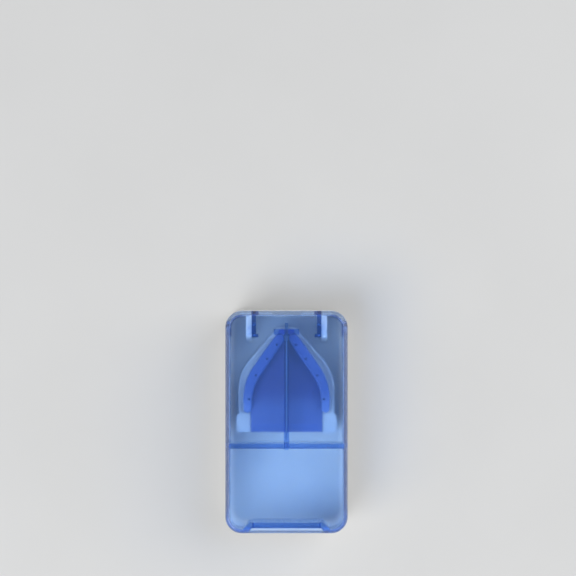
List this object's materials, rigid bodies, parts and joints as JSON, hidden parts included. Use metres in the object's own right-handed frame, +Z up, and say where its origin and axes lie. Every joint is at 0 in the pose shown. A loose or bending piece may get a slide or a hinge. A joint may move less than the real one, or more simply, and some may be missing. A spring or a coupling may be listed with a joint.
{
  "type": "pill splitter",
  "caption": "Pocket pill splitter: white tray with a raised deck, a soft V gripper and cutting pad, and a clear blue flip lid that carries a steel blade.",
  "frame": {"origin": "centre of the underside, on the surface that the tray rests on", "axes": "+Z up, +Y towards the hinge at the back, +X to the right of a person who faces the finger recess"},
  "size_m": [0.044, 0.08, 0.03],
  "materials": {
    "white_plastic": "fine matt moulded, warm white",
    "deck_plastic": "fine matt moulded, warm white",
    "pad_rubber": "soft matt blue elastomer",
    "grip_rubber": "soft matt blue elastomer",
    "clear_blue": "clear blue, glossy outside, slightly hazy",
    "rail_blue": "clear blue, glossy",
    "blade_steel": "ground stainless steel"
  },
  "bodies": {
    "tray": {"base_tray": "white_plastic", "deck_insert": "deck_plastic", "cutting_pad": "pad_rubber", "gripper_root": "grip_rubber"},
    "cover": {"lid": "clear_blue", "blade_holder": "rail_blue", "blade": "blade_steel"},
    "arm_left": {"gripper_arm_left": "grip_rubber"},
    "arm_right": {"gripper_arm_right": "grip_rubber"}
  },
  "joints": [
    {"name": "lid_hinge", "type": "hinge", "parent": "tray", "child": "cover", "pos_m": [0, 0.033, 0.0195], "axis": [-1, 0, 0], "range_deg": [0, 80]},
    {"name": "arm_left_flex", "type": "hinge", "parent": "tray", "child": "arm_left", "pos_m": [-0.0026, 0.0298, 0.0195], "axis": [0, 0, -1], "range_deg": [0, 8], "stiffness_Nm_per_rad": 0.08},
    {"name": "arm_right_flex", "type": "hinge", "parent": "tray", "child": "arm_right", "pos_m": [0.0026, 0.0298, 0.0195], "axis": [0, 0, 1], "range_deg": [0, 8], "stiffness_Nm_per_rad": 0.08}
  ]
}
